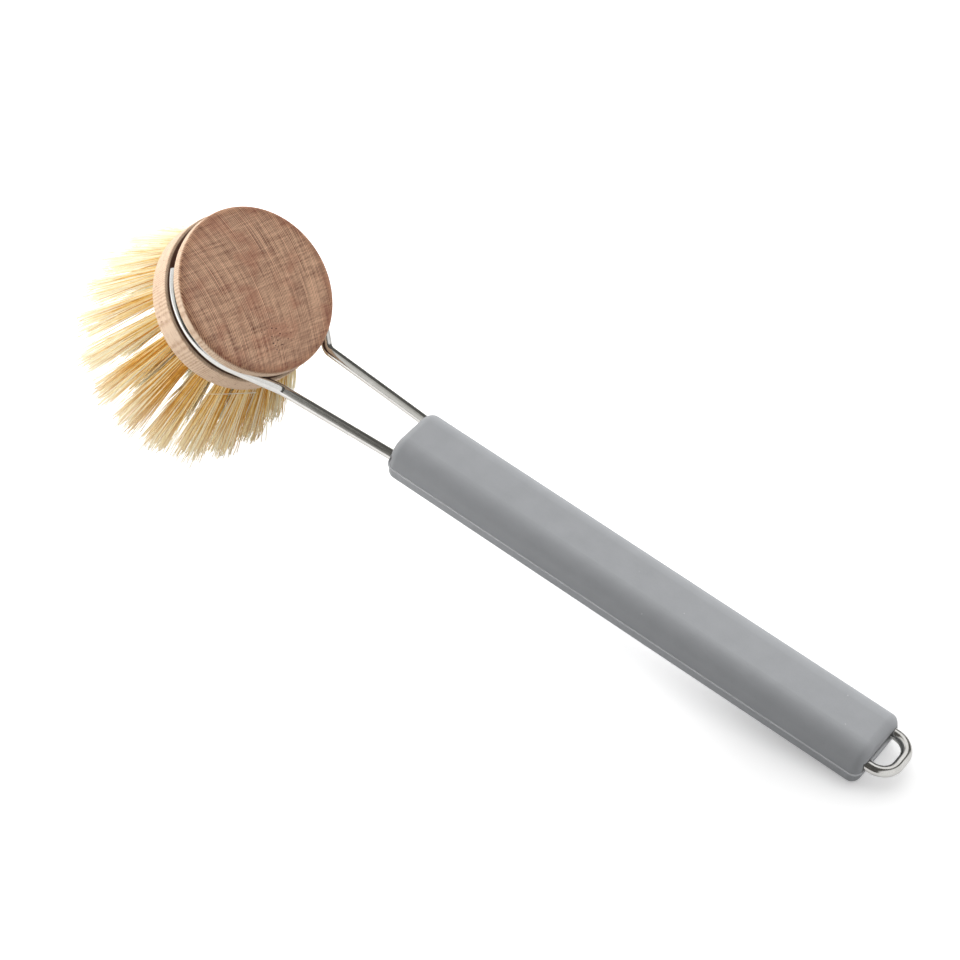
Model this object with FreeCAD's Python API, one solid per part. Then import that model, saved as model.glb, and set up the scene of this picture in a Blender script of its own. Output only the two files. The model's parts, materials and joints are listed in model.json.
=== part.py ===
import FreeCAD, Part
import math
import os
from collections import namedtuple

# A dish brush with a replaceable head, in millimetres and degrees, lying on a table as it is put down.
# +Z is up, +X runs along the grip towards its hanging loop, and the brush is the same on both sides of XZ.
# The pieces are first shaped in the head's frame: its origin is the centre of the head's top face, Z is the
# head's axis and X points towards the grip. The last lines lay the whole brush on its tufts and its grip.

# Wire, one thickness all through
wire_diameter = 3.2

# Head block, turned from one piece of wood
head_diameter = 50.0
flange_overhang = 0.6
disc_thickness = 4.0
flange_thickness = 8.4
disc_edge_radius = 1.2
groove_edge_radius = 0.4
flange_edge_radius = 0.8
groove_side_clearance = 0.4
clamp_clearance = 0.3

# Clamp arms: from the head's groove, round a kink, to the mouth of the grip
clamp_end_angle = 142.0
kink_gap = 2.0
kink_spacing = 21.0
kink_bend_radius = 3.5
grip_rise_angle = 34.0
arm_length = 38.5
mouth_spacing = 16.2
pivot_depth = 2.0
swing_clearance = 0.6
flex_gap = 0.3

# Wire inside the grip and its hanging loop
tail_spacing = 13.6
loop_reach = 6.6
loop_corner_radius = 5.4
bore_clearance = 0.05

# Grip sleeve: widest at its parting line, a little below the wire
sleeve_length = 160.0
sleeve_wall = 1.6
sleeve_top_cover = 4.5
sleeve_bottom_cover = 5.1
sleeve_top_draft = 2.2
sleeve_bottom_draft = 0.8
parting_drop = 1.5
sleeve_top_corner_radius = 6.0
sleeve_bottom_corner_radius = 2.0
sleeve_rim_radius = 2.8
slot_depth = 2.5
slot_clearance = 0.4

# Tufts, each in its own drilled hole, and the flat wire anchors that hold them
hole_diameter = 4.6
hole_floor = 1.4
outer_ring_inset = 4.6
tuft_clearance = 0.05
tuft_neck_margin = 0.4
tuft_length = 31.0
tuft_tip_diameter = 8.0
anchor_thickness = 0.4
anchor_height = 1.6
anchor_bite = 0.6

# Rings of tufts: name, count, share of the outer ring's radius, lean away from the head's axis
ring_shares = (
    ("outer", 20, 1.0, 21.5),
    ("middle", 10, 2 / 3, 14.0),
    ("inner", 5, 1 / 3, 7.0),
    ("centre", 1, 0.0, 0.0),
)

# All tufts are swept a little towards the grip: this much for each unit that they reach down
tuft_sweep_share = 0.12

# How far a cutting shape runs past the face that it opens
overrun = 1.0

# Sizes that follow from the ones above
Vector = FreeCAD.Vector
wire_radius = wire_diameter / 2
head_radius = head_diameter / 2
flange_radius = head_radius + flange_overhang
groove_width = wire_diameter + 2 * groove_side_clearance
head_height = disc_thickness + groove_width + flange_thickness
clamp_radius = head_radius - wire_radius
groove_floor_radius = clamp_radius - wire_radius - clamp_clearance
wire_level = -(disc_thickness + groove_width / 2)
kink_reach = head_radius + kink_gap
sleeve_end = arm_length + sleeve_length
sleeve_top = wire_radius + sleeve_top_cover
sleeve_bottom = wire_radius + sleeve_bottom_cover
parting_half_width = mouth_spacing / 2 + wire_radius + sleeve_wall
hole_radius = hole_diameter / 2
hole_depth = flange_thickness - hole_floor
outer_ring_radius = flange_radius - outer_ring_inset
tuft_root_radius = hole_radius - tuft_clearance
tuft_tip_radius = tuft_tip_diameter / 2

# The grip's own frame: origin midway between the kinks, X along the grip, Y across it
grip_frame = FreeCAD.Placement(
    Vector(kink_reach, 0, wire_level), FreeCAD.Rotation(Vector(0, 1, 0), -grip_rise_angle)
)

Tuft = namedtuple("Tuft", "name placement direction lean")


def in_grip_frame(shape):
    """The shape, drawn in the grip's frame, set in the head's frame."""
    shape.Placement = grip_frame.multiply(shape.Placement)
    return shape


def rounded_run(points, bend_radius):
    """Straight edges through the points, with a tangent arc at each inner point."""
    edges = []
    start = points[0]
    for before, corner, after in zip(points, points[1:], points[2:]):
        into = (corner - before).normalize()
        out = (after - corner).normalize()
        half_turn = into.getAngle(out) / 2
        setback = bend_radius * math.tan(half_turn)
        entry = corner - into * setback
        leave = corner + out * setback
        inward = (out - into).normalize()
        middle = corner + inward * (bend_radius / math.cos(half_turn) - bend_radius)
        edges.append(Part.LineSegment(start, entry).toShape())
        edges.append(Part.Arc(entry, middle, leave).toShape())
        start = leave
    edges.append(Part.LineSegment(start, points[-1]).toShape())
    return edges


def bent_wire(edges, start, direction):
    """A round wire along the edges, which begin at start in the given direction."""
    section = Part.Wire([Part.Circle(start, direction, wire_radius).toShape()])
    return Part.Wire(edges).makePipeShell([section], True, False)


def round_rim(shape, level, radius):
    """The shape with its circular edge at this level rounded."""
    circles = [edge for edge in shape.Edges if isinstance(edge.Curve, Part.Circle)]
    rims = [edge for edge in circles if math.isclose(edge.Curve.Center.z, level, abs_tol=wire_radius / 100)]
    return shape.makeFillet(radius, rims)


def tufts():
    """Every tuft's name, the frame of its hole's mouth with Z along the tuft, its direction and lean."""
    found = []
    for ring, count, radius_share, lean in ring_shares:
        for index in range(count):
            turn = math.radians(360 * (index + 0.5) / count)
            outward = Vector(math.cos(turn), math.sin(turn), 0)
            spread = outward * math.tan(math.radians(lean))
            direction = (spread + Vector(tuft_sweep_share, 0, -1)).normalize()
            mouth = outward * (outer_ring_radius * radius_share) - Vector(0, 0, head_height)
            name = f"tuft_{ring}_{index + 1:02d}" if count > 1 else f"tuft_{ring}"
            placement = FreeCAD.Placement(mouth, FreeCAD.Rotation(Vector(0, 0, 1), direction))
            found.append(Tuft(name, placement, direction, math.acos(-direction.z)))
    return found


def tuft_solid(tuft):
    """A bundle of fibres: straight in its hole, then spreading to its sheared tip."""
    root = anchor_height + tuft_clearance - hole_depth
    neck = hole_radius * math.tan(tuft.lean) + tuft_neck_margin
    outline = Part.makePolygon(
        [
            Vector(0, 0, root),
            Vector(tuft_root_radius, 0, root),
            Vector(tuft_root_radius, 0, neck),
            Vector(tuft_tip_radius, 0, tuft_length),
            Vector(0, 0, tuft_length),
            Vector(0, 0, root),
        ]
    )
    solid = Part.Face(outline).revolve(Vector(0, 0, 0), Vector(0, 0, 1), 360)
    solid.Placement = tuft.placement
    return solid


def anchor_solid(tuft):
    """The flat wire that is driven across the root of a tuft, into the wood on both sides."""
    half_span = hole_radius + anchor_bite
    corner = Vector(-half_span, -anchor_thickness / 2, -hole_depth)
    solid = Part.makeBox(2 * half_span, anchor_thickness, anchor_height, corner)
    solid.Placement = tuft.placement.multiply(solid.Placement)
    return solid


def hole_cutter(tuft):
    """The drill's path for one tuft, from the bottom of its hole to past the slanted mouth."""
    length = hole_depth + hole_radius * math.tan(tuft.lean) + overrun
    drill = Part.makeCylinder(hole_radius, length, Vector(0, 0, -hole_depth))
    drill.Placement = tuft.placement.multiply(drill.Placement)
    return drill


def head_block():
    """The turned block: a disc and a flange with the wire's groove between them, drilled from below."""
    groove_bottom = -(disc_thickness + groove_width)
    disc = Part.makeCylinder(head_radius, disc_thickness, Vector(0, 0, -disc_thickness))
    disc = round_rim(disc, 0, disc_edge_radius)
    disc = round_rim(disc, -disc_thickness, groove_edge_radius)
    flange = Part.makeCylinder(flange_radius, flange_thickness, Vector(0, 0, -head_height))
    flange = round_rim(flange, groove_bottom, groove_edge_radius)
    flange = round_rim(flange, -head_height, flange_edge_radius)
    core = Part.makeCylinder(groove_floor_radius, groove_width, Vector(0, 0, groove_bottom))
    block = disc.fuse([core, flange]).removeSplitter()
    cutters = [cut(tuft) for tuft in tufts() for cut in (hole_cutter, anchor_solid)]
    return block.cut(cutters)


def arm_pivot(side):
    """Where an arm bends as it is spread: on the wire, just inside the mouth of the grip."""
    return grip_frame.multVec(Vector(arm_length + pivot_depth, side * mouth_spacing / 2, 0))


def clamp_arm(side):
    """One arm of the wire: straight out of the grip, round its kink and along the head's groove."""
    pivot = arm_pivot(side)
    kink = Vector(kink_reach, side * kink_spacing / 2, wire_level)
    kink_radius = math.hypot(kink.x, kink.y)
    touch_angle = math.atan2(abs(kink.y), kink.x) + math.acos(clamp_radius / kink_radius)
    end_angle = math.radians(clamp_end_angle)

    def on_clamp(angle):
        return Vector(clamp_radius * math.cos(angle), side * clamp_radius * math.sin(angle), wire_level)

    touch = on_clamp(touch_angle)
    edges = rounded_run([pivot, kink, touch], kink_bend_radius)
    edges.append(Part.Arc(touch, on_clamp((touch_angle + end_angle) / 2), on_clamp(end_angle)).toShape())
    rod = bent_wire(edges, pivot, kink - pivot)
    return rod.fuse(Part.makeSphere(wire_radius, pivot)).removeSplitter()


def leg_direction(side):
    """The way one leg of the wire runs inside the grip, in the grip's frame."""
    mouth = Vector(arm_length + pivot_depth, side * mouth_spacing / 2, 0)
    tail = Vector(sleeve_end, side * tail_spacing / 2, 0)
    return mouth, tail, (tail - mouth).normalize()


def hanging_loop():
    """The wire inside the grip: two legs that end short of the arms, joined by the loop behind."""
    points = []
    for side in (1, -1):
        mouth, tail, along = leg_direction(side)
        front = mouth + along * (wire_radius + flex_gap)
        corner = tail + along * (loop_reach / along.x)
        points.append((front, corner))
    (left_front, left_corner), (right_front, right_corner) = points
    edges = rounded_run([left_front, left_corner, right_corner, right_front], loop_corner_radius)
    return in_grip_frame(bent_wire(edges, left_front, left_corner - left_front))


def sleeve_body():
    """The sleeve's outside, in the grip's frame: its section drawn out, with rounded corners and ends."""
    top_half = parting_half_width - sleeve_top_draft
    bottom_half = parting_half_width - sleeve_bottom_draft
    right = [
        Vector(arm_length, top_half, sleeve_top),
        Vector(arm_length, parting_half_width, -parting_drop),
        Vector(arm_length, bottom_half, -sleeve_bottom),
    ]
    left = [Vector(corner.x, -corner.y, corner.z) for corner in reversed(right)]
    body = Part.Face(Part.makePolygon(right + left + right[:1])).extrude(Vector(sleeve_length, 0, 0))
    corners = ((sleeve_top, sleeve_top_corner_radius), (-sleeve_bottom, sleeve_bottom_corner_radius))
    for level, radius in corners:
        long_edges = [
            edge
            for edge in body.Edges
            if math.isclose(edge.Length, sleeve_length) and math.isclose(edge.CenterOfMass.z, level)
        ]
        body = body.makeFillet(radius, long_edges)
    ends = (arm_length, sleeve_end)
    rims = [edge for edge in body.Edges if any(math.isclose(edge.CenterOfMass.x, end) for end in ends)]
    return body.makeFillet(sleeve_rim_radius, rims)


def grip_sleeve():
    """The moulded sleeve with a bore for each leg, a flared mouth for each arm and the loop's slot."""
    sleeve = sleeve_body()
    bore_radius = wire_radius + bore_clearance
    mouth_radius = wire_radius + swing_clearance
    mouth_depth = pivot_depth + wire_radius + flex_gap
    for side in (1, -1):
        mouth, tail, along = leg_direction(side)
        bore = Part.makeCylinder(bore_radius, mouth.distanceToPoint(tail) + overrun, mouth, along)
        flare_start = Vector(arm_length - overrun, mouth.y, 0)
        flare = Part.makeCylinder(mouth_radius, mouth_depth + overrun, flare_start, Vector(1, 0, 0))
        sleeve = sleeve.cut([bore, flare])
    slot_width = tail_spacing + wire_diameter + 2 * slot_clearance
    slot_height = wire_diameter + 2 * slot_clearance
    slot_corner = Vector(sleeve_end - slot_depth, -slot_width / 2, -slot_height / 2)
    slot = Part.makeBox(slot_depth + overrun, slot_width, slot_height, slot_corner)
    return in_grip_frame(sleeve.cut(slot))


def lowest_heights(lean):
    """How low the tufts and the grip's rear edge reach, with the head leant over by this angle."""
    up = Vector(-math.sin(lean), 0, math.cos(lean))
    tips = []
    for tuft in tufts():
        tip = tuft.placement.multVec(Vector(0, 0, tuft_length))
        across = math.sin(tuft.direction.getAngle(up))
        tips.append(tip.dot(up) - tuft_tip_radius * across)
    rim_centre = Vector(sleeve_end - sleeve_rim_radius, 0, sleeve_rim_radius - sleeve_bottom)
    return min(tips), grip_frame.multVec(rim_centre).dot(up) - sleeve_rim_radius


def resting_lean():
    """The head's lean at which the tufts and the grip's rear edge both touch the table."""
    low, high = 0.0, math.pi / 2
    for _ in range(60):
        lean = (low + high) / 2
        tips, rear = lowest_heights(lean)
        low, high = (lean, high) if tips < rear else (low, lean)
    return lean


pieces = {"head_block": head_block()}
for tuft in tufts():
    pieces[tuft.name] = tuft_solid(tuft)
pieces["tuft_anchors"] = Part.makeCompound([anchor_solid(tuft) for tuft in tufts()])
pieces["wire_clamp_left"] = clamp_arm(1)
pieces["wire_clamp_right"] = clamp_arm(-1)
pieces["wire_hanging_loop"] = hanging_loop()
pieces["grip_sleeve"] = grip_sleeve()

# Lay the brush on the table, with the origin under the middle of its box
rest_lean = resting_lean()
rest_turn = FreeCAD.Rotation(Vector(0, 1, 0), math.degrees(rest_lean))
brush = Part.makeCompound(list(pieces.values()))
brush.Placement = FreeCAD.Placement(Vector(0, 0, 0), rest_turn)
rest_shift = Vector(-brush.optimalBoundingBox().Center.x, 0, -lowest_heights(rest_lean)[0])
rest_placement = FreeCAD.Placement(rest_shift, rest_turn)

os.makedirs("parts", exist_ok=True)
for name, shape in pieces.items():
    shape.Placement = rest_placement.multiply(shape.Placement)
    shape.exportStep(f"parts/{name}.step")
print(f"{len(pieces)} nodes, head leant over by {math.degrees(rest_lean):.2f} degrees")
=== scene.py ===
"""A dish brush with a wooden head, a bent wire and a silicone grip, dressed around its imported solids."""

import json
import logging
import math
import random
from collections.abc import Sequence
from dataclasses import dataclass, field
from enum import Enum

import bmesh
import bpy
import numpy as np
from mathutils import Matrix, Vector


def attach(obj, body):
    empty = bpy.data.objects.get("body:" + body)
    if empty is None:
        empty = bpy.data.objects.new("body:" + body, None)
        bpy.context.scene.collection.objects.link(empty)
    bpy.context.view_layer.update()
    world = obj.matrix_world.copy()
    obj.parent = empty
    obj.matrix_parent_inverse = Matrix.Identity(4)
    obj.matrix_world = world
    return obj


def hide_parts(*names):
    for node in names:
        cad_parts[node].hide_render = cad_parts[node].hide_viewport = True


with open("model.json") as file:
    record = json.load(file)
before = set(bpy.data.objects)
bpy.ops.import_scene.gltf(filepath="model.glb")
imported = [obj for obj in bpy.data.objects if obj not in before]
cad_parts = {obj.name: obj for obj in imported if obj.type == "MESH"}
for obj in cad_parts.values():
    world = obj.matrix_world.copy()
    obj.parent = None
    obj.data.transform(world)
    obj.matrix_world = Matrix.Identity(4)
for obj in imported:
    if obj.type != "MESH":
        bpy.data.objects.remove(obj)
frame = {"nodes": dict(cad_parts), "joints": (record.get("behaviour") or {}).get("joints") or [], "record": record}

LOG = logging.getLogger("dish_brush")
MILLIMETRE = 0.001
LIT_TUFTS = "lit_tufts"
Colour = tuple[float, float, float, float]
Span = tuple[float, float]
Triple = tuple[float, float, float]
Value = object
Inputs = dict[str | int, Value]


class Body(Enum):
    """The rigid bodies that the pieces ride on."""

    HANDLE = "handle"
    LEFT_ARM = "left_arm"
    RIGHT_ARM = "right_arm"
    HEAD = "head"


class Slot(Enum):
    """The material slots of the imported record."""

    WOOD = "beech_wood"
    SILICONE = "silicone"
    STEEL = "steel_wire"
    FIBRE = "plant_fibre"


def linear(red: int, green: int, blue: int) -> Colour:
    """A screen colour as the linear colour that shaders take.

    Args:
        red: Red, from 0 to 255.
        green: Green, from 0 to 255.
        blue: Blue, from 0 to 255.

    Returns:
        The linear colour with full alpha.
    """
    shares = [channel / 255 for channel in (red, green, blue)]
    bent = [share / 12.92 if share <= 0.04045 else ((share + 0.055) / 1.055) ** 2.4 for share in shares]
    return (bent[0], bent[1], bent[2], 1.0)


class NodeSheet:
    """Adds the nodes of one material, world or node group and joins them."""

    def __init__(self, tree: bpy.types.NodeTree) -> None:
        """Keeps the node tree that the calls fill."""
        self.tree = tree

    def feed(self, socket: bpy.types.NodeSocket, value: Value) -> None:
        """Links a socket into another, or sets its own value.

        Args:
            socket: The input to feed.
            value: A socket to link from, or a plain value.
        """
        if isinstance(value, bpy.types.NodeSocket):
            self.tree.links.new(value, socket)
        else:
            socket.default_value = value

    def add(self, kind: str, inputs: Inputs | None = None, **settings: Value) -> bpy.types.Node:
        """Adds one node.

        Args:
            kind: The node's type.
            inputs: What its inputs are fed with, by name or number.
            **settings: The node's own properties.

        Returns:
            The new node.
        """
        node = self.tree.nodes.new(kind)
        for name, value in settings.items():
            setattr(node, name, value)
        for key, value in (inputs or {}).items():
            self.feed(node.inputs[key], value)
        return node

    def math(
        self, operation: str, first: Value, second: Value = 0.0, third: Value = 0.0
    ) -> bpy.types.NodeSocket:
        """Adds a Math node.

        Args:
            operation: The node's operation.
            first: Its first value.
            second: Its second value.
            third: Its third value, for operations that have one.

        Returns:
            The result's socket.
        """
        return self.add("ShaderNodeMath", {0: first, 1: second, 2: third}, operation=operation).outputs[0]

    def fade(self, value: Value, start: float, end: float) -> bpy.types.NodeSocket:
        """A smooth step of a value.

        Args:
            value: The value that runs through the step.
            start: Where the step is 0.
            end: Where the step is 1.

        Returns:
            The step's socket, from 0 to 1.
        """
        inputs = {"Value": value, "From Min": start, "From Max": end}
        return self.add("ShaderNodeMapRange", inputs, interpolation_type="SMOOTHSTEP").outputs[0]

    def mix(self, share: Value, first: Value, second: Value, blend: str = "MIX") -> bpy.types.NodeSocket:
        """Mixes two colours.

        Args:
            share: The second colour's share.
            first: The first colour.
            second: The second colour.
            blend: How they are mixed.

        Returns:
            The mixed colour's socket.
        """
        inputs = {0: share, 6: first, 7: second}
        return self.add("ShaderNodeMix", inputs, data_type="RGBA", blend_type=blend).outputs[2]

    def ramp(self, value: Value, stops: Sequence[tuple[float, Colour]]) -> bpy.types.NodeSocket:
        """A colour ramp.

        Args:
            value: The value that picks the colour.
            stops: Positions and linear colours, in order.

        Returns:
            The picked colour's socket.
        """
        node = self.add("ShaderNodeValToRGB", {0: value})
        band = node.color_ramp.elements
        while len(band) < len(stops):
            band.new(1.0)
        for element, (position, colour) in zip(band, stops):
            element.position = position
            element.color = colour
        return node.outputs[0]

    def bump(self, height: Value, strength: float, depth: float) -> bpy.types.NodeSocket:
        """A bumped normal.

        Args:
            height: The height, from 0 to 1.
            strength: The bump's strength.
            depth: The depth of a full height, in millimetres.

        Returns:
            The normal's socket.
        """
        inputs = {"Strength": strength, "Distance": depth * MILLIMETRE, "Height": height}
        return self.add("ShaderNodeBump", inputs).outputs[0]

    def group(self, tree: bpy.types.NodeTree, inputs: Inputs) -> bpy.types.NodeSocket:
        """Places a node group and gives its first output's socket."""
        return self.add("ShaderNodeGroup", inputs, node_tree=tree).outputs[0]


class SharedEffects:
    """The node groups that several finishes place with their own values."""

    def __init__(self) -> None:
        """Builds each group once."""
        self.streaks = self._streaks()
        self.mottle = self._mottle()
        self.specks = self._specks()

    @staticmethod
    def _start(
        name: str, inputs: Sequence[tuple[str, str, float]], output: str
    ) -> tuple[NodeSheet, bpy.types.Node, bpy.types.Node]:
        """Makes an empty group.

        Args:
            name: The group's name.
            inputs: Name, socket kind and default of each input; vectors have no default.
            output: The name of its one output value.

        Returns:
            The group's sheet, its input node and its output node.
        """
        tree = bpy.data.node_groups.new(name, "ShaderNodeTree")
        for label, kind, default in inputs:
            socket = tree.interface.new_socket(label, in_out="INPUT", socket_type=kind)
            if kind == "NodeSocketFloat":
                socket.default_value = default
        tree.interface.new_socket(output, in_out="OUTPUT", socket_type="NodeSocketFloat")
        sheet = NodeSheet(tree)
        return sheet, sheet.add("NodeGroupInput"), sheet.add("NodeGroupOutput")

    @staticmethod
    def _stretched(sheet: NodeSheet, noise: Value, contrast: Value) -> bpy.types.NodeSocket:
        """Noise spread about its middle by a contrast and kept between 0 and 1."""
        centred = sheet.math("SUBTRACT", noise, 0.5)
        spread = sheet.math("MULTIPLY_ADD", centred, contrast, 0.5)
        return sheet.add("ShaderNodeClamp", {0: spread}).outputs[0]

    def _streaks(self) -> bpy.types.NodeTree:
        """Lines that run along X: growth rings in wood and drawing marks on wire."""
        inputs = (
            ("Vector", "NodeSocketVector", 0.0),
            ("Along", "NodeSocketFloat", 0.05),
            ("Across", "NodeSocketFloat", 1.5),
            ("Contrast", "NodeSocketFloat", 2.0),
        )
        sheet, source, target = self._start("streaks", inputs, "Value")
        spot, along, across, contrast = source.outputs[:4]
        stretch = sheet.add("ShaderNodeCombineXYZ", {0: along, 1: across, 2: across}).outputs[0]
        place = sheet.add("ShaderNodeVectorMath", {0: spot, 1: stretch}, operation="MULTIPLY").outputs[0]
        feeds = {"Vector": place, "Scale": 1.0, "Detail": 3.0, "Roughness": 0.6}
        noise = sheet.add("ShaderNodeTexNoise", feeds).outputs[0]
        sheet.feed(target.inputs[0], self._stretched(sheet, noise, contrast))
        return sheet.tree

    def _mottle(self) -> bpy.types.NodeTree:
        """Soft cloudy patches."""
        inputs = (
            ("Vector", "NodeSocketVector", 0.0),
            ("Scale", "NodeSocketFloat", 0.2),
            ("Contrast", "NodeSocketFloat", 1.5),
        )
        sheet, source, target = self._start("mottle", inputs, "Value")
        spot, scale, contrast = source.outputs[:3]
        feeds = {"Vector": spot, "Scale": scale, "Detail": 4.0, "Roughness": 0.55}
        noise = sheet.add("ShaderNodeTexNoise", feeds).outputs[0]
        sheet.feed(target.inputs[0], self._stretched(sheet, noise, contrast))
        return sheet.tree

    def _specks(self) -> bpy.types.NodeTree:
        """Small scattered dots: pores in wood and lint on silicone."""
        inputs = (
            ("Vector", "NodeSocketVector", 0.0),
            ("Scale", "NodeSocketFloat", 0.5),
            ("Size", "NodeSocketFloat", 0.1),
            ("Share", "NodeSocketFloat", 0.3),
        )
        sheet, source, target = self._start("specks", inputs, "Mask")
        cells = sheet.add("ShaderNodeTexVoronoi", {"Vector": source.outputs[0], "Scale": source.outputs[1]})
        near = sheet.math("LESS_THAN", cells.outputs["Distance"], source.outputs[2])
        chance = sheet.add("ShaderNodeSeparateColor", {0: cells.outputs["Color"]})
        picked = sheet.math("LESS_THAN", chance.outputs[0], source.outputs[3])
        sheet.feed(target.inputs[0], sheet.math("MULTIPLY", near, picked))
        return sheet.tree


@dataclass(frozen=True)
class Placement:
    """A frame in the row frame, with its X and Z axes in the XZ plane."""

    origin: Vector
    turn: float

    @property
    def matrix(self) -> Matrix:
        """The frame as a matrix that takes its own metres to the row frame."""
        return Matrix.Translation(self.origin) @ Matrix.Rotation(self.turn, 4, "Y")

    def local(self, sheet: NodeSheet) -> bpy.types.NodeSocket:
        """Object coordinates in this frame, in millimetres.

        Args:
            sheet: The material's nodes.

        Returns:
            The vector's socket.
        """
        source = sheet.add("ShaderNodeTexCoord").outputs["Object"]
        inputs = {
            "Vector": source,
            "Location": self.origin,
            "Rotation": (0.0, self.turn, 0.0),
            "Scale": (MILLIMETRE, MILLIMETRE, MILLIMETRE),
        }
        return sheet.add("ShaderNodeMapping", inputs, vector_type="TEXTURE").outputs[0]


class BrushFrames:
    """The head's and the grip's own frames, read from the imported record."""

    wire_level = 6.0 * MILLIMETRE

    def __init__(self, record: dict, joints: Sequence[dict]) -> None:
        """Reads the joints and the grip's mount.

        Args:
            record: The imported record.
            joints: Its joints.
        """
        found = {joint["name"]: joint for joint in joints}
        mounts = {mount["name"]: mount for mount in record["mounts"]}
        axis = Vector(found["head_swivel"]["axis"])
        top = Vector(found["head_swivel"]["pos_m"]) + axis * self.wire_level
        self.head = Placement(top, math.atan2(axis.x, axis.z))
        up = -Vector(mounts["grip_underside"]["axis"])
        roots = [Vector(found[name]["pos_m"]) for name in ("left_arm_flex", "right_arm_flex")]
        self.grip = Placement((roots[0] + roots[1]) / 2, math.atan2(up.x, up.z))


def bare_material(name: str) -> tuple[bpy.types.Material, NodeSheet]:
    """Makes a material without nodes and gives it with its sheet."""
    material = bpy.data.materials.new(name)
    material.use_nodes = True
    material.node_tree.nodes.clear()
    return material, NodeSheet(material.node_tree)


def new_material(name: str) -> tuple[bpy.types.Material, NodeSheet, bpy.types.Node]:
    """Makes a material with only a Principled BSDF and its output.

    Args:
        name: The material's name.

    Returns:
        The material, its sheet and the shader node.
    """
    material, sheet = bare_material(name)
    shader = sheet.add("ShaderNodeBsdfPrincipled")
    sheet.add("ShaderNodeOutputMaterial", {"Surface": shader.outputs[0]})
    return material, sheet, shader


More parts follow.
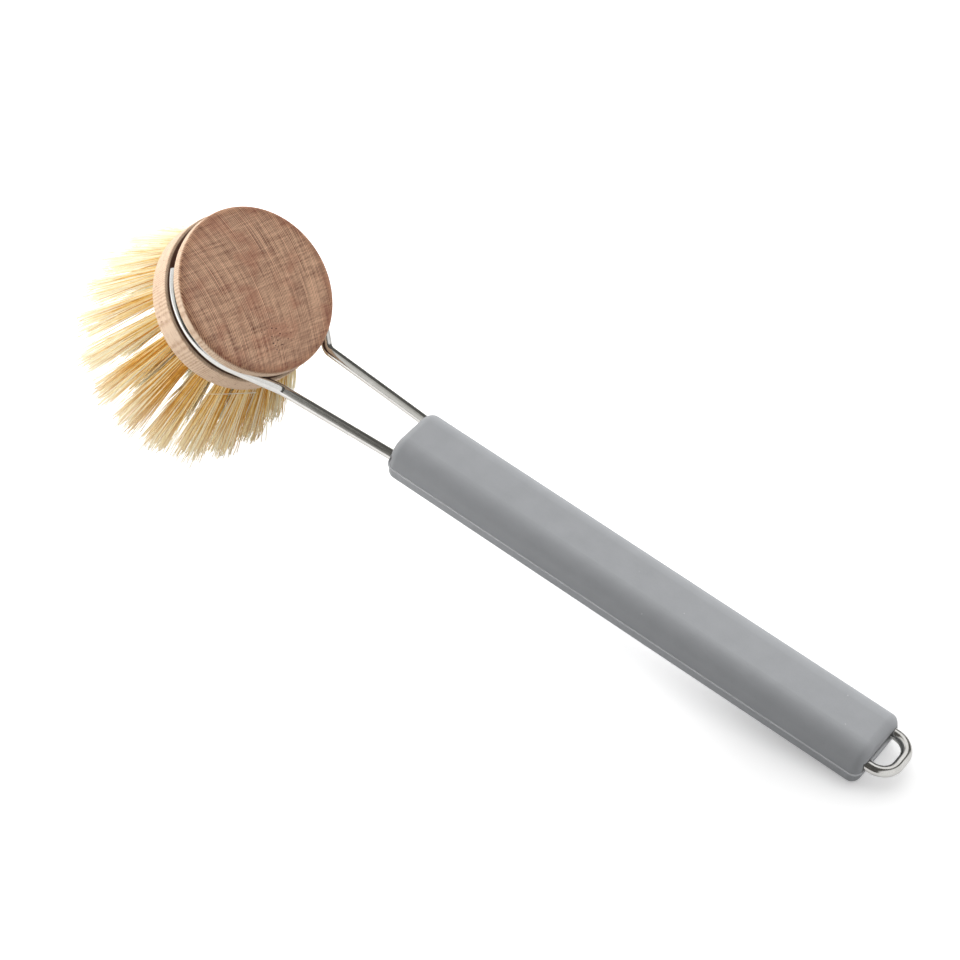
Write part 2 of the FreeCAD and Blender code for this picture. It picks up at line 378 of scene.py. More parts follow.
@dataclass(frozen=True)
class WoodFinish:
    """Sanded beech: brown on top, pale on the turned sides, darker in the groove, with painted shade towards the
    top face's rim, in millimetres.
    """

    top_dark: Colour = linear(112, 62, 40)
    top_light: Colour = linear(236, 190, 154)
    side_dark: Colour = linear(200, 162, 130)
    side_light: Colour = linear(232, 204, 176)
    # The darker colour inside the groove.
    groove_dark: Colour = linear(92, 54, 36)
    pore: Colour = linear(70, 42, 30)
    flush: Colour = linear(176, 106, 78)
    fleck: Colour = linear(158, 104, 74)
    # Painted shade: multiplied into the top face towards its rounded rim.
    painted_rim_shade: Colour = linear(232, 220, 212)
    top_level: Span = (-1.1, -0.2)
    painted_rim_reach: Span = (21.5, 23.8)
    fleck_stretch: Triple = (1.0, 1.0, 0.3)
    fleck_share: float = 0.7
    comb_scale: float = 0.63
    comb_stretch: float = 0.12
    comb_weight: float = 0.44
    streak_weights: tuple[tuple[str, float], ...] = (
        ("rings", 0.2),
        ("lines", 0.08),
        ("weave", 0.18),
        ("bands", 0.13),
    )
    grain_slope: float = 0.29
    grain_bend: float = 0.0082
    cross_slope: float = 0.25
    pore_centre: Triple = (13.4, -5.0, 0.0)
    pore_reach: float = 8.0
    groove: Span = (-8.0, -4.0)
    groove_radius: float = 24.7
    roughness: Span = (0.5, 0.72)
    bump: Span = (0.35, 0.12)

    def build(self, place: Placement, effects: SharedEffects) -> bpy.types.Material:
        """Builds the material.

        Args:
            place: The head's frame.
            effects: The shared node groups.

        Returns:
            The material.
        """
        material, sheet, shader = new_material("beech_wood")
        spot = place.local(sheet)
        x, y, z = sheet.add("ShaderNodeSeparateXYZ", {0: spot}).outputs
        slope = sheet.math("MULTIPLY_ADD", x, self.grain_bend, self.grain_slope)
        bent = sheet.math("MULTIPLY_ADD", x, slope, y)
        grained = sheet.add("ShaderNodeCombineXYZ", {0: x, 1: bent, 2: z}).outputs[0]
        over = sheet.math("MULTIPLY_ADD", y, -self.cross_slope, x)
        crossed = sheet.add("ShaderNodeCombineXYZ", {0: bent, 1: over, 2: z}).outputs[0]
        comb = self.comb(sheet, x, bent)
        streaks = {
            name: sheet.group(
                effects.streaks, {"Vector": spread, "Along": along, "Across": across, "Contrast": contrast}
            )
            for name, spread, along, across, contrast in (
                ("rings", grained, 0.05, 0.8, 2.2),
                ("lines", grained, 0.06, 2.4, 2.6),
                ("bands", crossed, 0.06, 0.55, 2.2),
                ("weave", crossed, 0.12, 1.7, 2.8),
            )
        }
        lines, weave = streaks["lines"], streaks["weave"]
        cloud = sheet.group(effects.mottle, {"Vector": spot, "Scale": 0.11, "Contrast": 2.6})
        pores = sheet.group(effects.specks, {"Vector": spot, "Scale": 1.1, "Size": 0.26, "Share": 0.5})
        lined = sheet.math("MULTIPLY", comb, sheet.math("MULTIPLY_ADD", lines, 0.7, 0.3))
        grain = sheet.math("MULTIPLY", lined, self.comb_weight)
        for name, weight in self.streak_weights:
            grain = sheet.math("MULTIPLY_ADD", streaks[name], weight, grain)
        top = sheet.ramp(grain, ((0.2, self.top_dark), (0.64, self.top_light)))
        side = sheet.ramp(grain, ((0.2, self.side_dark), (0.56, self.side_light)))
        top = sheet.mix(sheet.math("MULTIPLY", sheet.fade(cloud, 0.4, 0.9), 0.38), top, self.flush)
        level = sheet.fade(z, *self.top_level)
        colour = sheet.mix(level, side, top)
        away = sheet.add("ShaderNodeVectorMath", {0: spot, 1: self.pore_centre}, operation="DISTANCE")
        clustered = sheet.math("MULTIPLY", pores, sheet.fade(away.outputs["Value"], self.pore_reach, 2.0))
        clustered = sheet.math("MULTIPLY", clustered, level)
        colour = sheet.mix(clustered, colour, self.pore)
        drawn = sheet.add("ShaderNodeVectorMath", {0: spot, 1: self.fleck_stretch}, operation="MULTIPLY")
        inputs = {"Vector": drawn.outputs[0], "Scale": 0.75, "Size": 0.13, "Share": 0.55}
        flecks = sheet.group(effects.specks, inputs)
        sides = sheet.math("MULTIPLY_ADD", level, -self.fleck_share, self.fleck_share)
        colour = sheet.mix(sheet.math("MULTIPLY", flecks, sides), colour, self.fleck)
        flat = sheet.add("ShaderNodeCombineXYZ", {0: x, 1: y}).outputs[0]
        radius = sheet.add("ShaderNodeVectorMath", {0: flat}, operation="LENGTH").outputs["Value"]
        # Painted shade: darkens the top face towards its rounded rim.
        painted_rim_mask = sheet.math("MULTIPLY", sheet.fade(radius, *self.painted_rim_reach), level)
        colour = sheet.mix(painted_rim_mask, colour, self.painted_rim_shade, "MULTIPLY")
        # Darker inside the groove.
        inside = sheet.fade(radius, self.groove_radius + 0.25, self.groove_radius - 0.15)
        above = sheet.fade(z, self.groove[0] - 0.35, self.groove[0] + 0.05)
        below = sheet.fade(z, self.groove[1] + 0.35, self.groove[1] - 0.05)
        in_groove = sheet.math("MULTIPLY", inside, sheet.math("MULTIPLY", above, below))
        colour = sheet.mix(in_groove, colour, self.groove_dark)
        sheet.feed(shader.inputs["Base Color"], colour)
        low, high = self.roughness
        sheet.feed(shader.inputs["Roughness"], sheet.math("MULTIPLY_ADD", lines, high - low, low))
        relief = sheet.math("MULTIPLY_ADD", comb, 0.6, sheet.math("MULTIPLY", weave, 0.4))
        relief = sheet.math("SUBTRACT", relief, clustered)
        sheet.feed(shader.inputs["Normal"], sheet.bump(relief, *self.bump))
        return material

    def comb(self, sheet: NodeSheet, x: Value, bent: Value) -> bpy.types.NodeSocket:
        """The fine, even lines that run along the bent grain.

        Args:
            sheet: The material's nodes.
            x: The place along the grain.
            bent: The place across the bent grain.

        Returns:
            The lines' socket, from 0 to 1.
        """
        shortened = sheet.math("MULTIPLY", x, self.comb_stretch)
        inputs = {
            "Vector": sheet.add("ShaderNodeCombineXYZ", {0: shortened, 1: bent}).outputs[0],
            "Scale": self.comb_scale,
            "Distortion": 4.5,
            "Detail": 2.0,
            "Detail Scale": 0.7,
            "Detail Roughness": 0.5,
        }
        wave = sheet.add("ShaderNodeTexWave", inputs, wave_type="BANDS", bands_direction="Y")
        return wave.outputs["Fac"]


@dataclass(frozen=True)
class SiliconeFinish:
    """Matt grey silicone with a fine moulded skin and a little lint."""

    name: str = "silicone"
    dark: Colour = linear(164, 166, 169)
    light: Colour = linear(176, 178, 181)
    lint: Colour = linear(196, 197, 199)
    roughness: Span = (0.46, 0.58)
    gloss: float = 0.25
    bump: Span = (0.25, 0.06)

    def build(self, place: Placement, effects: SharedEffects) -> bpy.types.Material:
        """Builds the material.

        Args:
            place: The grip's frame.
            effects: The shared node groups.

        Returns:
            The material.
        """
        material, sheet, shader = new_material(self.name)
        spot = place.local(sheet)
        cloud = sheet.group(effects.mottle, {"Vector": spot, "Scale": 0.16, "Contrast": 1.6})
        skin = sheet.group(effects.mottle, {"Vector": spot, "Scale": 2.4, "Contrast": 1.4})
        lint = sheet.group(effects.specks, {"Vector": spot, "Scale": 0.17, "Size": 0.035, "Share": 0.5})
        shade = sheet.math("MULTIPLY_ADD", skin, 0.3, sheet.math("MULTIPLY", cloud, 0.7))
        colour = sheet.mix(shade, self.dark, self.light)
        sheet.feed(shader.inputs["Base Color"], sheet.mix(lint, colour, self.lint))
        low, high = self.roughness
        sheet.feed(shader.inputs["Roughness"], sheet.math("MULTIPLY_ADD", cloud, high - low, low))
        shader.inputs["Specular IOR Level"].default_value = self.gloss
        sheet.feed(shader.inputs["Normal"], sheet.bump(sheet.math("ADD", skin, lint), *self.bump))
        return material


@dataclass(frozen=True)
class SteelFinish:
    """Polished steel wire with faint drawing marks along it."""

    dark: Colour = linear(196, 194, 190)
    light: Colour = linear(232, 231, 228)
    roughness: Span = (0.08, 0.2)
    bump: Span = (0.12, 0.03)

    def build(self, place: Placement, effects: SharedEffects) -> bpy.types.Material:
        """Builds the material.

        Args:
            place: The grip's frame.
            effects: The shared node groups.

        Returns:
            The material.
        """
        material, sheet, shader = new_material("steel_wire")
        spot = place.local(sheet)
        drawn = {"Vector": spot, "Along": 0.08, "Across": 6.0, "Contrast": 2.0}
        marks = sheet.group(effects.streaks, drawn)
        cloud = sheet.group(effects.mottle, {"Vector": spot, "Scale": 0.35, "Contrast": 1.8})
        shade = sheet.math("MULTIPLY_ADD", marks, 0.6, sheet.math("MULTIPLY", cloud, 0.4))
        sheet.feed(shader.inputs["Base Color"], sheet.mix(shade, self.dark, self.light))
        low, high = self.roughness
        sheet.feed(shader.inputs["Roughness"], sheet.math("MULTIPLY_ADD", marks, high - low, low))
        shader.inputs["Metallic"].default_value = 1.0
        sheet.feed(shader.inputs["Normal"], sheet.bump(marks, *self.bump))
        return material


@dataclass(frozen=True)
class FibreFinish:
    """Undyed plant fibres, from golden straw to cream, deeper in colour at their roots: partly their own colour,
    partly painted shade where the roots lie deep in the tuft. The tone attribute also carries painted shade from
    the tufts.
    """

    tone_name: str = "fibre_tone"
    reach_name: str = "fibre_reach"
    tones: tuple[tuple[float, Colour], ...] = (
        (0.0, linear(199, 146, 64)),
        (0.2, linear(234, 202, 126)),
        (0.5, linear(241, 234, 205)),
        (1.0, linear(244, 240, 228)),
    )
    # Multiplied in towards the roots: partly the fibres' own colour, partly painted shade.
    root: Colour = linear(234, 204, 120)
    root_tint_and_shade_reach: Span = (0.7, 0.1)
    root_tint_and_shade_share: float = 0.55
    tip: Colour = linear(245, 240, 218)
    tip_reach: Span = (0.5, 1.0)
    tip_share: float = 0.5
    gloss: float = 0.15

    def build(self, place: Placement, effects: SharedEffects) -> bpy.types.Material:
        """Builds the material.

        Args:
            place: The head's frame.
            effects: The shared node groups.

        Returns:
            The material.
        """
        material, sheet, shader = new_material("plant_fibre")
        spot = place.local(sheet)
        tone = sheet.add("ShaderNodeAttribute", attribute_name=self.tone_name).outputs["Fac"]
        reach = sheet.add("ShaderNodeAttribute", attribute_name=self.reach_name).outputs["Fac"]
        cloud = sheet.group(effects.mottle, {"Vector": spot, "Scale": 0.45, "Contrast": 1.6})
        picked = sheet.math("MULTIPLY_ADD", cloud, 0.24, sheet.math("SUBTRACT", tone, 0.12))
        colour = sheet.ramp(picked, self.tones)
        # Partly painted shade: darker and more golden towards the roots.
        root_tint_and_shade = sheet.math("MULTIPLY", sheet.fade(reach, *self.root_tint_and_shade_reach), self.root_tint_and_shade_share)
        colour = sheet.mix(root_tint_and_shade, colour, self.root, "MULTIPLY")
        tipped = sheet.math("MULTIPLY", sheet.fade(reach, *self.tip_reach), self.tip_share)
        sheet.feed(shader.inputs["Base Color"], sheet.mix(tipped, colour, self.tip))
        sheet.feed(shader.inputs["Roughness"], sheet.math("MULTIPLY_ADD", cloud, 0.2, 0.42))
        shader.inputs["Specular IOR Level"].default_value = self.gloss
        return material


def made_piece(
    name: str, shape: bmesh.types.BMesh, material: bpy.types.Material, body: Body
) -> bpy.types.Object:
    """Makes an object at the origin from a finished bmesh.

    Args:
        name: The piece's name.
        shape: The bmesh, in the row frame; it is freed.
        material: Its finish.
        body: The body it rides on.

    Returns:
        The new piece.
    """
    mesh = bpy.data.meshes.new(name)
    shape.to_mesh(mesh)
    shape.free()
    mesh.shade_smooth()
    return placed_piece(name, mesh, material, body)


def placed_piece(
    name: str, mesh: bpy.types.Mesh, material: bpy.types.Material, body: Body
) -> bpy.types.Object:
    """Links a mesh as a piece that rides on a body.

    Args:
        name: The piece's name.
        mesh: Its mesh, in the row frame.
        material: Its finish.
        body: The body it rides on.

    Returns:
        The new piece.
    """
    piece = bpy.data.objects.new(name, mesh)
    mesh.materials.clear()
    mesh.materials.append(material)
    bpy.context.scene.collection.objects.link(piece)
    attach(piece, body.value)
    LOG.info("%s: %d faces on %s", name, len(mesh.polygons), body.value)
    return piece


def dress_node(name: str, material: bpy.types.Material) -> None:
    """Gives a CAD node its finish.

    Args:
        name: The node's name.
        material: The finish.
    """
    node = frame["nodes"][name]
    node.data.materials.clear()
    node.data.materials.append(material)
    LOG.info("%s: dressed with %s", name, material.name)


@dataclass
class Head:
    """The turned wooden block, which keeps its CAD shape."""

    finish: WoodFinish = field(default_factory=WoodFinish)

    def dress(self, frames: BrushFrames, effects: SharedEffects) -> None:
        """Dresses the block.

        Args:
            frames: The brush's frames.
            effects: The shared node groups.
        """
        dress_node("head_block", self.finish.build(frames.head, effects))


@dataclass
class Wire:
    """The two clamp arms, the hanging loop and the tufts' hidden anchors."""

    finish: SteelFinish = field(default_factory=SteelFinish)
    nodes: tuple[str, ...] = ("wire_clamp_left", "wire_clamp_right", "wire_hanging_loop", "tuft_anchors")

    def dress(self, frames: BrushFrames, effects: SharedEffects) -> None:
        """Dresses the wire.

        Args:
            frames: The brush's frames.
            effects: The shared node groups.
        """
        material = self.finish.build(frames.grip, effects)
        for name in self.nodes:
            dress_node(name, material)


@dataclass
class Grip:
    """The silicone sleeve, with its moulding flash, painted paler partly as a highlight, and a lip round each
    wire. Lengths are in metres.
    """

    finish: SiliconeFinish = field(default_factory=SiliconeFinish)
    # The flash's paler grey is partly painted highlight, for the light that the thin rib's top catches.
    flash_and_highlight_finish: SiliconeFinish = SiliconeFinish(
        "silicone_flash_and_highlight", dark=linear(216, 218, 220), light=linear(232, 233, 235)
    )
    front: float = -2.0 * MILLIMETRE
    rear: float = 158.0 * MILLIMETRE
    half_width: float = 11.3 * MILLIMETRE
    parting_level: float = -1.5 * MILLIMETRE
    corner_radius: float = 2.8 * MILLIMETRE
    flash_proud: float = 0.2 * MILLIMETRE
    flash_depth: float = 0.8 * MILLIMETRE
    flash_height: float = 0.3 * MILLIMETRE
    wire_offset: float = 8.1 * MILLIMETRE
    lip_setback: float = 0.75 * MILLIMETRE
    lip_ring: float = 2.13 * MILLIMETRE
    lip_thickness: float = 0.18 * MILLIMETRE
    corner_steps: int = 8
    ring_steps: int = 40

    def build(self, frames: BrushFrames, effects: SharedEffects) -> None:
        """Dresses the sleeve and builds its flash and lips.

        Args:
            frames: The brush's frames.
            effects: The shared node groups.
        """
        material = self.finish.build(frames.grip, effects)
        dress_node("grip_sleeve", material)
        # The flash gets a paler finish, which is partly painted highlight.
        flash = self.flash_and_highlight_finish.build(frames.grip, effects)
        made_piece("sleeve_flash", self.flash(frames.grip), flash, Body.HANDLE)
        made_piece("sleeve_lips", self.lips(frames.grip), material, Body.HANDLE)

    def flash(self, place: Placement) -> bmesh.types.BMesh:
        """The thin rib that the mould's parting leaves all round the sleeve.

        Args:
            place: The grip's frame.

        Returns:
            The rib, in the row frame.
        """
        shape = bmesh.new()
        bmesh.ops.create_grid(shape, x_segments=1, y_segments=1, size=1.0)
        half_length = (self.rear - self.front) / 2 + self.flash_proud
        half_width = self.half_width + self.flash_proud
        bmesh.ops.scale(shape, vec=(half_length, half_width, 1.0), verts=shape.verts)
        bmesh.ops.bevel(
            shape,
            geom=shape.verts[:],
            offset=self.corner_radius,
            offset_type="OFFSET",
            segments=self.corner_steps,
            profile=0.5,
            affect="VERTICES",
            material=-1,
        )
        bmesh.ops.inset_region(
            shape, faces=shape.faces[:], thickness=self.flash_depth, use_boundary=True, use_even_offset=True
        )
        inner = max(shape.faces, key=lambda face: face.calc_area())
        bmesh.ops.delete(shape, geom=[inner], context="FACES_ONLY")
        made = bmesh.ops.extrude_face_region(shape, geom=shape.faces[:])
        raised = [part for part in made["geom"] if isinstance(part, bmesh.types.BMVert)]
        bmesh.ops.translate(shape, vec=(0, 0, self.flash_height), verts=raised)
        bmesh.ops.recalc_face_normals(shape, faces=shape.faces)
        middle = ((self.front + self.rear) / 2, 0.0, self.parting_level - self.flash_height / 2)
        bmesh.ops.transform(shape, matrix=place.matrix @ Matrix.Translation(middle), verts=shape.verts)
        return shape

    def lips(self, place: Placement) -> bmesh.types.BMesh:
        """A rounded lip round each arm where it enters the sleeve.

        Args:
            place: The grip's frame.

        Returns:
            Both lips, in the row frame.
        """
        shape = bmesh.new()
        for side in (1, -1):
            centre = Vector((self.front + self.lip_setback, side * self.wire_offset, 0.0))
            crown = centre + Vector((0, 0, self.lip_ring))
            start = Matrix.Translation(crown) @ Matrix.Rotation(math.pi / 2, 4, "X")
            made = bmesh.ops.create_circle(shape, segments=12, radius=self.lip_thickness, matrix=start)
            rim = list({edge for vert in made["verts"] for edge in vert.link_edges})
            bmesh.ops.spin(
                shape,
                geom=made["verts"] + rim,
                cent=centre,
                axis=(1, 0, 0),
                angle=2 * math.pi,
                steps=self.ring_steps,
                use_merge=True,
            )
        bmesh.ops.remove_doubles(shape, verts=shape.verts, dist=MILLIMETRE / 1000)
        bmesh.ops.recalc_face_normals(shape, faces=shape.faces)
        bmesh.ops.transform(shape, matrix=place.matrix, verts=shape.verts)
        return shape


@dataclass(frozen=True)
class TuftShape:
    """Where one tuft's solid lies: its root, its direction and its length in metres."""

    root: np.ndarray
    along: np.ndarray
    length: float

    @classmethod
    def of_node(cls, node: bpy.types.Object) -> "TuftShape":
        """Measures a tuft's solid, which is round about its own long axis.

        Args:
            node: The CAD node.

        Returns:
            Its root, direction and length.
        """
        points = np.array([vertex.co for vertex in node.data.vertices], float)
        rounded = np.unique(points.round(7), axis=0)
        middle = rounded.mean(axis=0)
        along = np.linalg.svd(rounded - middle, full_matrices=False)[2][0]
        reach = (rounded - middle) @ along
        spread = np.linalg.norm((rounded - middle) - np.outer(reach, along), axis=1)
        if spread[reach > reach.max() - MILLIMETRE].max() < spread[reach < reach.min() + MILLIMETRE].max():
            along, reach = -along, -reach
        return cls(middle + along * reach.min(), along, float(reach.max() - reach.min()))


@dataclass
class Tufts:
    """Bundles of plant fibres, one for each tuft's solid; the tufts that point towards the near side, away from
    the light, are painted more golden and darker, as painted shade.

    Lengths are in metres. A pair with "change" or "tone" in its name is a middle and a spread.
    """

    finish: FibreFinish = field(default_factory=FibreFinish)
    thin_ring: str = "tuft_outer"
    fibres: int = 150
    hidden: float = 5.35 * MILLIMETRE
    start_depth: float = 2.0 * MILLIMETRE
    root_radius: float = 2.05 * MILLIMETRE
    tip_radius: float = 3.8 * MILLIMETRE
    fibre_radius: float = 0.18 * MILLIMETRE
    floor_gap: float = 0.25 * MILLIMETRE
    points: int = 7
    # Painted shade: tufts that point along the side below, away from the light, get a lower, more golden tone.
    painted_shade_strength: float = 1.1
    painted_shade_side: Triple = (0.6, -0.8, 0.0)
    fibre_tone: Span = (0.2, 0.3)
    loose_spots: tuple[Triple, ...] = (
        (0.0152, -0.0217, -0.0236),
        (0.0163, -0.0208, -0.0217),
        (0.0176, -0.0196, -0.0204),
        (0.0192, -0.0176, -0.0196),
        (0.0209, -0.0151, -0.0193),
        (0.0227, -0.0122, -0.0195),
        (0.0245, -0.0089, -0.0205),
    )
    tone_step: float = 0.08
    flare_change: Span = (1.0, 0.16)
    flare_power: float = 1.1
    reach_change: Span = (1.05, 0.04)
    bow_change: Span = (0.0, 0.9 * MILLIMETRE)
    taper: float = 0.45
    near_reach: float = 6.0 * MILLIMETRE
    long_share: float = 0.05
    long_reach: Span = (1.5 * MILLIMETRE, 5.5 * MILLIMETRE)
    seed: int = 41

    def build(self, frames: BrushFrames, effects: SharedEffects) -> None:
        """Replaces every tuft's solid with its fibres.

        Args:
            frames: The brush's frames.
            effects: The shared node groups.
        """
        material = self.finish.build(frames.head, effects)
        nodes = frame["nodes"]
        names = sorted(name for name in nodes if name.startswith("tuft_") and name != "tuft_anchors")
        for index, name in enumerate(names):
            shape = TuftShape.of_node(nodes[name])
            mesh = self.bundle(name, shape, random.Random(self.seed + index))
            piece = placed_piece(name.replace("tuft", "fibres"), mesh, material, Body.HEAD)
            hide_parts(name)
            piece.visible_shadow = not name.startswith(self.thin_ring)
            lit_group(LIT_TUFTS).objects.link(piece)
        loose = placed_piece("fibres_loose", self.loose_fibre(frames.head), material, Body.HEAD)
        lit_group(LIT_TUFTS).objects.link(loose)

    def fibre_curve(self, name: str) -> bpy.types.Curve:
        """An empty curve that gives its lines a fibre's thickness."""
        curve = bpy.data.curves.new(name, "CURVE")
        curve.dimensions = "3D"
        curve.bevel_depth = self.fibre_radius
        curve.bevel_resolution = 0
        return curve

    def loose_fibre(self, place: Placement) -> bpy.types.Mesh:
        """One stray fibre that lies across the near tufts, just under the block.

        Args:
            place: The head's frame.

        Returns:
            The mesh, in the row frame.
        """
        curve = self.fibre_curve("fibres_loose")
        spline = curve.splines.new("POLY")
        spline.points.add(self.points - 1)
        for point, spot in zip(spline.points, self.loose_spots, strict=True):
            point.co = (*(place.matrix @ Vector(spot)), 1.0)
        return self.meshed(curve, [1.0])

    def bundle(self, name: str, shape: TuftShape, draw: random.Random) -> bpy.types.Mesh:
        """One tuft's fibres as a mesh with a tone for each fibre and a reach along it.

        Args:
            name: The tuft's name.
            shape: Where its solid lies.
            draw: The tuft's own random numbers.

        Returns:
            The mesh, in the row frame.
        """
        across = np.cross(shape.along, (0.0, 1.0, 0.0))
        across /= np.linalg.norm(across)
        over = np.cross(shape.along, across)
        mouth = shape.root + shape.along * self.hidden
        length = shape.length - self.hidden
        extra = self.near_reach * max(-shape.along[1], 0.0)
        curve = self.fibre_curve(name)
        # Painted shade: a tuft that points away from the light gets a lower, more golden tone.
        painted_shade = self.painted_shade_strength * float(np.dot(shape.along, self.painted_shade_side))
        tuft_tone_and_shade = draw.uniform(-self.tone_step, self.tone_step) - painted_shade
        tones = []
        for _ in range(self.fibres):
            angle = draw.uniform(0, 2 * math.pi)
            share = math.sqrt(draw.random())
            spread = draw.gauss(*self.flare_change)
            reach = length * draw.gauss(*self.reach_change) + extra
            if draw.random() < self.long_share:
                reach += draw.uniform(*self.long_reach)
            bow = draw.gauss(*self.bow_change)
            bow_angle = draw.uniform(0, 2 * math.pi)
            tones.append(min(max(draw.gauss(*self.fibre_tone) + tuft_tone_and_shade, 0.0), 1.0))
            outward = across * math.cos(angle) + over * math.sin(angle)
            bowed = across * math.cos(bow_angle) + over * math.sin(bow_angle)
            spline = curve.splines.new("POLY")
            spline.points.add(self.points - 1)
            for step, point in enumerate(spline.points):
                part = step / (self.points - 1)
                depth = -self.start_depth + part * (reach + self.start_depth)
                free = max(depth, 0.0) / length
                flare = (self.tip_radius * spread - self.root_radius) * free**self.flare_power
                radius = share * (self.root_radius + flare)
                spot = mouth + shape.along * depth + outward * radius + bowed * (bow * free * free)
                spot[2] = max(spot[2], self.floor_gap)
                point.co = (*spot, 1.0)
                point.radius = 1.0 - self.taper * part
        return self.meshed(curve, tones)

    def meshed(self, curve: bpy.types.Curve, tones: Sequence[float]) -> bpy.types.Mesh:
        """Turns fibres drawn as a curve into a marked mesh.

        Args:
            curve: The fibres' curve.
            tones: The fibres' tones.

        Returns:
            The mesh.
        """
        holder = bpy.data.objects.new(curve.name, curve)
        mesh = bpy.data.meshes.new_from_object(holder)
        bpy.data.objects.remove(holder)
        self.mark(mesh, tones)
        return mesh

    def mark(self, mesh: bpy.types.Mesh, tones: Sequence[float]) -> None:
        """Writes each fibre's tone and the reach along it as attributes.

        Args:
            mesh: The bundle's mesh, whose vertices run fibre by fibre and ring by ring.
            tones: The fibres' tones.
        """
        shape = bmesh.new()
        shape.from_mesh(mesh)
        bmesh.ops.holes_fill(shape, edges=[edge for edge in shape.edges if edge.is_boundary], sides=4)
        bmesh.ops.recalc_face_normals(shape, faces=shape.faces)
        shape.to_mesh(mesh)
        shape.free()
        mesh.shade_smooth()
        each = len(mesh.vertices) // len(tones)
        ring = each // self.points
        reach = np.tile(np.repeat(np.linspace(0, 1, self.points), ring), len(tones))
        values = {self.finish.tone_name: np.repeat(tones, each), self.finish.reach_name: reach}
        for name, numbers in values.items():
            attribute = mesh.attributes.new(name, "FLOAT", "POINT")
            attribute.data.foreach_set("value", numbers.astype(np.float32))


def lit_group(name: str) -> bpy.types.Collection:
    """The named collection of pieces that a lamp may be kept to, made when first asked for."""
    return bpy.data.collections.get(name) or bpy.data.collections.new(name)


@dataclass(frozen=True)
class Lamp:
    """A soft lamp that faces the origin, with its place and size in metres and its power in watts."""

    name: str
    direction: Triple
    distance: float
    size: Span
    power: float
    only: str = ""

    def build(self) -> None:
        """Makes the lamp, which mirrors do not show."""
        data = bpy.data.lights.new(self.name, "AREA")
        data.shape = "RECTANGLE"
        data.size, data.size_y = self.size
        data.energy = self.power
        lamp = bpy.data.objects.new(self.name, data)
        bpy.context.scene.collection.objects.link(lamp)
        toward = Vector(self.direction).normalized()
        lamp.location = toward * self.distance
        lamp.rotation_mode = "QUATERNION"
        lamp.rotation_quaternion = toward.to_track_quat("Z", "Y")
        lamp.visible_glossy = False
        if self.only:
            lamp.light_linking.receiver_collection = lit_group(self.only)


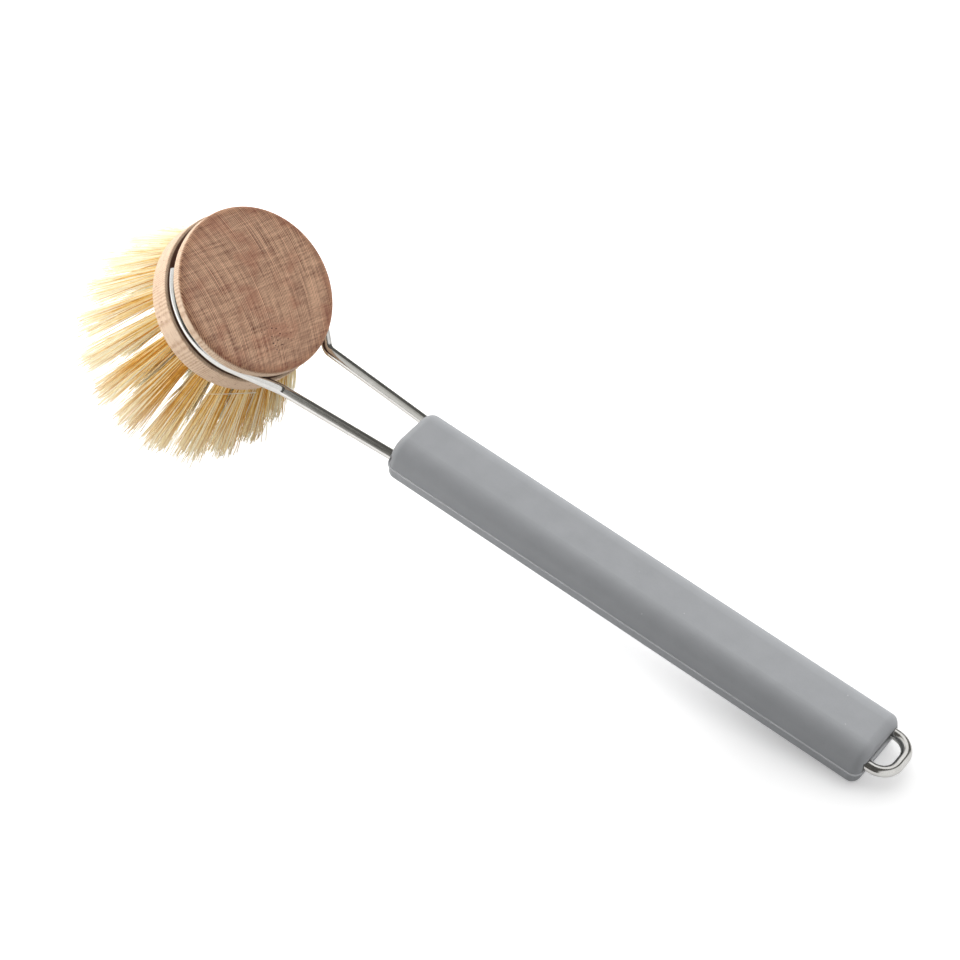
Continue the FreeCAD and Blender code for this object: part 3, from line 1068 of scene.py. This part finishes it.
@dataclass
class Studio:
    """A white floor, soft lamps, a mirror card, a pale world and the photograph's camera."""

    camera_place: Vector = field(default_factory=lambda: Vector((0.3314, -0.44964, 0.59855)))
    camera_forward: Vector = field(default_factory=lambda: Vector((-0.41886, 0.56168, -0.71349)))
    camera_right: Vector = field(default_factory=lambda: Vector((0.80121, 0.59839, 0.00071)))
    focal_pixels: float = 2845.8
    picture_pixels: float = 960.0
    sensor: float = 36.0
    floor_size: float = 6.0
    floor_colour: Colour = (0.82, 0.82, 0.82, 1.0)
    # Painted light: the floor's glow for camera rays washes out the brush's shadow, and is weaker towards the rear
    # end so that the shadow shows there.
    painted_floor_glow: Span = (0.68, 0.36)
    painted_glow_reach: Span = (0.05, 0.11)
    mirror_share: float = 0.5
    card_place: Vector = field(default_factory=lambda: Vector((0.1, 0.085, 0.126)))
    card_faces: Vector = field(default_factory=lambda: Vector((0.2, -0.56, -0.8)))
    card_size: float = 0.12
    lamps: tuple[Lamp, ...] = (
        Lamp("window", (-0.9, 0.25, 0.3), 1.0, (0.9, 0.6), 4.2),
        Lamp("fill", (-0.86, -0.49, 0.15), 0.33, (0.2, 0.2), 0.55),
        Lamp("tuft_fill", (0.0, -0.8, 0.6), 0.5, (0.3, 0.3), 0.6, LIT_TUFTS),
    )
    room_dark: Colour = linear(88, 87, 84)
    room_bright: Colour = linear(250, 250, 250)
    room_pane: Colour = linear(240, 238, 236)
    room_tones: tuple[tuple[float, Colour], ...] = (
        (0.595, linear(88, 87, 84)),
        (0.64, linear(222, 222, 218)),
        (0.8, linear(255, 255, 255)),
    )
    room_front: Span = (0.05, 0.4)
    room_right: Span = (0.42, 0.6)
    pane_near: Span = (-0.48, -0.56)
    pane_far: Span = (-0.8, -0.7)
    pane_depth: Span = (0.3, 0.4)
    dome_from: Triple = (-0.1, 0.72, 0.69)
    dome_levels: tuple[Span, ...] = ((0.42, 0.0), (0.6, 0.12), (0.8, 0.62), (1.0, 1.0))
    dome_power: float = 1.75

    def build(self) -> None:
        """Builds the camera, the floor, the card, the lamps and the world."""
        self.camera()
        self.floor()
        self.card()
        for lamp in self.lamps:
            lamp.build()
        self.world()
        bpy.context.scene.view_settings.view_transform = "Standard"

    def camera(self) -> None:
        """Makes the camera at the photograph's place."""
        data = bpy.data.cameras.new("camera")
        data.sensor_width = self.sensor
        data.lens = self.sensor * self.focal_pixels / self.picture_pixels
        data.clip_start = 0.01
        camera = bpy.data.objects.new("camera", data)
        bpy.context.scene.collection.objects.link(camera)
        back = -self.camera_forward.normalized()
        right = self.camera_right.normalized()
        up = back.cross(right)
        turn = Matrix((right, up, back)).transposed().to_4x4()
        camera.matrix_world = Matrix.Translation(self.camera_place) @ turn
        bpy.context.scene.camera = camera

    def floor(self) -> None:
        """Makes the white floor, which is clear from below; its glow for camera rays is painted light that washes
        the brush's shadow out, less so towards the rear end, where the shadow shows.
        """
        shape = bmesh.new()
        bmesh.ops.create_grid(shape, x_segments=1, y_segments=1, size=self.floor_size / 2)
        material, sheet = bare_material("floor")
        path = sheet.add("ShaderNodeLightPath")
        seen = sheet.math("MAXIMUM", path.outputs["Is Camera Ray"], path.outputs["Is Transmission Ray"])
        seen = sheet.math("MULTIPLY_ADD", path.outputs["Is Glossy Ray"], self.mirror_share, seen)
        paper = sheet.add("ShaderNodeBsdfDiffuse", {"Color": self.floor_colour})
        spot = sheet.add("ShaderNodeTexCoord").outputs["Object"]
        along = sheet.add("ShaderNodeSeparateXYZ", {0: spot}).outputs[0]
        # Painted light: the glow washes the brush's shadow out, less so towards the rear end.
        high, low = self.painted_floor_glow
        painted_glow = sheet.math("MULTIPLY_ADD", sheet.fade(along, *self.painted_glow_reach), low - high, high)
        glow = sheet.add("ShaderNodeEmission", {"Strength": sheet.math("MULTIPLY", seen, painted_glow)})
        both = sheet.add("ShaderNodeAddShader", {0: paper.outputs[0], 1: glow.outputs[0]})
        under = sheet.add("ShaderNodeNewGeometry").outputs["Backfacing"]
        clear = sheet.add("ShaderNodeBsdfTransparent")
        faced = sheet.add("ShaderNodeMixShader", {0: under, 1: both.outputs[0], 2: clear.outputs[0]})
        sheet.add("ShaderNodeOutputMaterial", {"Surface": faced.outputs[0]})
        self.staged("floor", shape, material)

    def card(self) -> None:
        """Makes the bright card, seen only in mirrors, that draws the light line on the hanging loop."""
        shape = bmesh.new()
        turn = self.card_faces.to_track_quat("Z", "Y").to_matrix().to_4x4()
        place = Matrix.Translation(self.card_place) @ turn
        bmesh.ops.create_grid(shape, x_segments=1, y_segments=1, size=self.card_size / 2, matrix=place)
        material, sheet = bare_material("card")
        glow = sheet.add("ShaderNodeEmission")
        sheet.add("ShaderNodeOutputMaterial", {"Surface": glow.outputs[0]})
        card = self.staged("card", shape, material)
        for kind in ("camera", "diffuse", "shadow", "transmission", "volume_scatter"):
            setattr(card, f"visible_{kind}", False)

    @staticmethod
    def staged(name: str, shape: bmesh.types.BMesh, material: bpy.types.Material) -> bpy.types.Object:
        """Links a shape as part of the stage, apart from the brush.

        Args:
            name: The object's name.
            shape: Its bmesh, which is freed.
            material: Its material.

        Returns:
            The new object.
        """
        mesh = bpy.data.meshes.new(name)
        shape.to_mesh(mesh)
        shape.free()
        mesh.materials.append(material)
        thing = bpy.data.objects.new(name, mesh)
        bpy.context.scene.collection.objects.link(thing)
        return thing

    def world(self) -> None:
        """Makes the world: white where seen, a dome that lights the brush, and a dim room in mirrors."""
        world = bpy.data.worlds.new("studio")
        world.use_nodes = True
        world.node_tree.nodes.clear()
        sheet = NodeSheet(world.node_tree)
        path = sheet.add("ShaderNodeLightPath")
        shown = sheet.math("MAXIMUM", path.outputs["Is Camera Ray"], path.outputs["Is Transmission Ray"])
        direction = sheet.add("ShaderNodeTexCoord").outputs["Generated"]
        x, y, _ = sheet.add("ShaderNodeSeparateXYZ", {0: direction}).outputs
        beside = sheet.math("MULTIPLY_ADD", x, -0.5, 0.5)
        room = sheet.ramp(beside, self.room_tones)
        room = sheet.mix(sheet.fade(y, *self.room_front), room, self.room_dark)
        room = sheet.mix(sheet.fade(x, *self.room_right), room, self.room_bright)
        pane = sheet.math("MULTIPLY", sheet.fade(x, *self.pane_near), sheet.fade(x, *self.pane_far))
        pane = sheet.math("MULTIPLY", pane, sheet.fade(y, *self.pane_depth))
        room = sheet.mix(pane, room, self.room_pane)
        inputs = {0: direction, 1: self.dome_from}
        facing = sheet.add("ShaderNodeVectorMath", inputs, operation="DOT_PRODUCT").outputs["Value"]
        toward = sheet.math("MULTIPLY_ADD", facing, 0.5, 0.5)
        dome = sheet.ramp(toward, [(stop, (level, level, level, 1.0)) for stop, level in self.dome_levels])
        lit = sheet.mix(path.outputs["Is Glossy Ray"], dome, room)
        colour = sheet.mix(shown, lit, (1.0, 1.0, 1.0, 1.0))
        mirrored = sheet.math("MAXIMUM", shown, path.outputs["Is Glossy Ray"])
        power = sheet.math("MULTIPLY_ADD", mirrored, 1.0 - self.dome_power, self.dome_power)
        background = sheet.add("ShaderNodeBackground", {"Color": colour, "Strength": power})
        sheet.add("ShaderNodeOutputWorld", {"Surface": background.outputs[0]})
        bpy.context.scene.world = world


def main() -> None:
    """Builds the brush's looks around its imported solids."""
    logging.basicConfig(level=logging.INFO, format="%(message)s")
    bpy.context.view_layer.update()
    frames = BrushFrames(frame["record"], frame["joints"])
    effects = SharedEffects()
    Studio().build()
    Head().dress(frames, effects)
    Wire().dress(frames, effects)
    Grip().build(frames, effects)
    Tufts().build(frames, effects)


if __name__ == "__main__":
    main()
